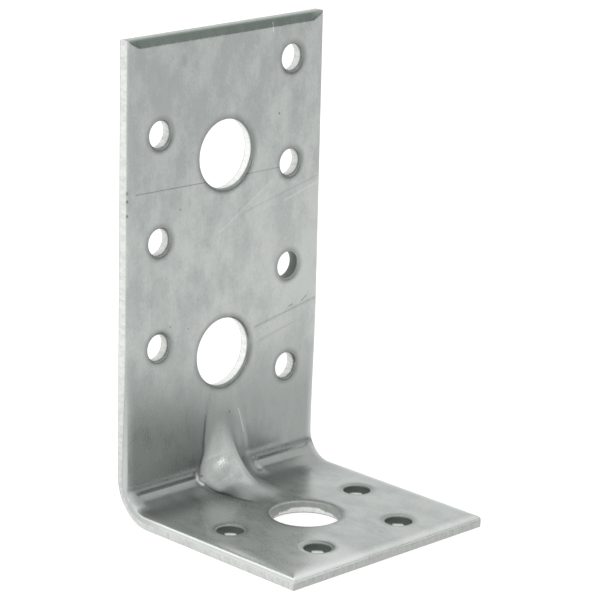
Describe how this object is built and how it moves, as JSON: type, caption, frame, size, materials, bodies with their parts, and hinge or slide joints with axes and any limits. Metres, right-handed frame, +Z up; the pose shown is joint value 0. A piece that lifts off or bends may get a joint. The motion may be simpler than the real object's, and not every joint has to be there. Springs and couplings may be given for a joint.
{
  "type": "ribbed angle bracket",
  "caption": "L-shaped galvanised steel angle bracket with a stiffening rib pressed through the bend and punched holes for bolts and nails, for joining timber to timber or to a wall.",
  "frame": {"origin": "middle of the base: bottom centre of the bounding box, on the outer face of the short leg", "axes": "+X along the bend, +Y towards the surface behind the tall leg, +Z up along the tall leg; the short leg reaches along -Y"},
  "size_m": [0.048, 0.047, 0.09],
  "materials": {
    "zinc_sheet": "galvanised sheet, cloudy grey with fine rolling lines and bright sheared edges"
  },
  "bodies": {
    "root": {"bracket": "zinc_sheet"}
  },
  "joints": []
}
